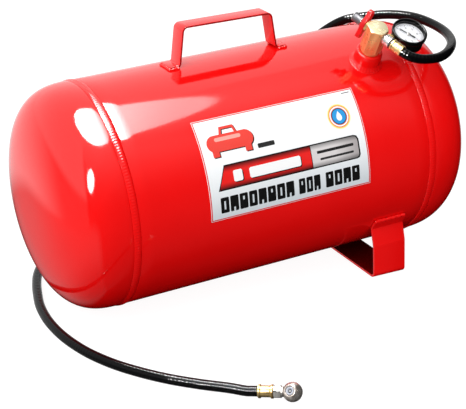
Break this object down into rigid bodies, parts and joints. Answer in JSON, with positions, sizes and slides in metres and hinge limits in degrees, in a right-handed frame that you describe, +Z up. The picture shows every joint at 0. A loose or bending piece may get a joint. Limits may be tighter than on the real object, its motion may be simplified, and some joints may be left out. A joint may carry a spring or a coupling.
{
  "type": "portable air receiver tank",
  "caption": "Portable steel air tank with strap handle and foot, top manifold with shut-off valve, pressure gauge and fill valve, and an inflation hose with a ball chuck.",
  "frame": {"origin": "on the floor, under the middle of the tank's plan box without the hose and chuck", "axes": "+X along the tank towards the manifold end, +Y towards the back (away from the label), +Z up"},
  "size_m": [0.54, 0.4887, 0.3266],
  "materials": {
    "red_paint": "gloss enamel over steel",
    "label": "printed film",
    "brass": "machined",
    "steel": "turned",
    "nickel": "nickel plated",
    "rubber": "satin black",
    "red_plastic": "moulded",
    "black_plastic": "moulded",
    "black_paint": "satin black",
    "clear_plastic": "clear",
    "dial_face": "silver-white printed"
  },
  "bodies": {
    "tank": {"tank_shell": "red_paint", "head_left": "red_paint", "weld_ring_left": "red_paint", "head_right": "red_paint", "weld_ring_right": "red_paint", "shell_seam_weld": "red_paint", "carry_handle": "red_paint", "handle_weld_left": "red_paint", "handle_weld_right": "red_paint", "foot_bracket": "red_paint", "foot_weld_front": "red_paint", "foot_weld_back": "red_paint", "label_decal": "label", "port_boss": "red_paint", "boss_weld": "red_paint", "manifold": "brass", "valve_packing_nut": "brass", "outlet_nipple": "nickel", "outlet_ring": "rubber", "outlet_ferrule": "brass", "air_hose": "rubber", "chuck_ferrule": "brass", "chuck_neck": "nickel", "chuck_ball": "nickel", "chuck_seal": "rubber", "gauge_case": "black_paint", "gauge_bezel": "black_paint", "gauge_window": "clear_plastic", "gauge_dial": "dial_face", "gauge_movement_plate": "brass", "gauge_bourdon_tube": "brass", "gauge_stem": "brass", "fill_valve_body": "brass", "fill_valve_core": "brass", "fill_valve_cap": "black_plastic"},
    "t_handle": {"valve_stem": "steel", "valve_t_handle": "red_plastic", "valve_cap_nut": "nickel"},
    "shut_off_disc": {"valve_disc": "rubber"},
    "pointer": {"gauge_pointer": "black_paint", "gauge_pinion": "brass"},
    "sector": {"gauge_sector": "brass"},
    "link": {"gauge_link": "brass"},
    "fill_pin": {"fill_valve_pin": "steel"},
    "chuck_plunger": {"chuck_pin": "brass"}
  },
  "joints": [
    {"name": "disc_lift", "type": "slide", "parent": "tank", "child": "shut_off_disc", "axis": [-0.4092, 0.7963, 0.4455], "range_m": [0, 0.0015]},
    {"name": "t_handle_turn", "type": "hinge", "parent": "shut_off_disc", "child": "t_handle", "pos_m": [0.13309, -0.08998, 0.30106], "axis": [-0.4092, 0.7963, 0.4455], "range_deg": [0, 450]},
    {"name": "pointer_sweep", "type": "hinge", "parent": "tank", "child": "pointer", "pos_m": [0.17734, -0.08829, 0.28922], "axis": [0.0337, 0.5011, -0.8648], "range_deg": [0, 260]},
    {"name": "sector_swing", "type": "hinge", "parent": "tank", "child": "sector", "pos_m": [0.17627, -0.09731, 0.28395], "axis": [0.0337, 0.5011, -0.8648], "range_deg": [-43.5, 0]},
    {"name": "link_slide", "type": "slide", "parent": "tank", "child": "link", "axis": [0.9944, -0.1033, -0.0211], "range_m": [0, 0.00265], "stiffness_N_per_m": 20, "springref_m": -0.0003},
    {"name": "fill_pin_slide", "type": "slide", "parent": "tank", "child": "fill_pin", "axis": [-0.5851, -0.6916, -0.4235], "range_m": [0, 0.0015], "stiffness_N_per_m": 300, "springref_m": -0.001},
    {"name": "chuck_plunger_slide", "type": "slide", "parent": "tank", "child": "chuck_plunger", "axis": [0.6947, 0.4378, -0.5707], "range_m": [0, 0.0015], "stiffness_N_per_m": 300, "springref_m": -0.001}
  ],
  "couplings": [
    {"joint": "t_handle_turn", "follows": "disc_lift", "rad_per_m": 5236},
    {"joint": "pointer_sweep", "follows": "link_slide", "rad_per_m": 1709.1},
    {"joint": "sector_swing", "follows": "link_slide", "rad_per_m": -284.85}
  ]
}
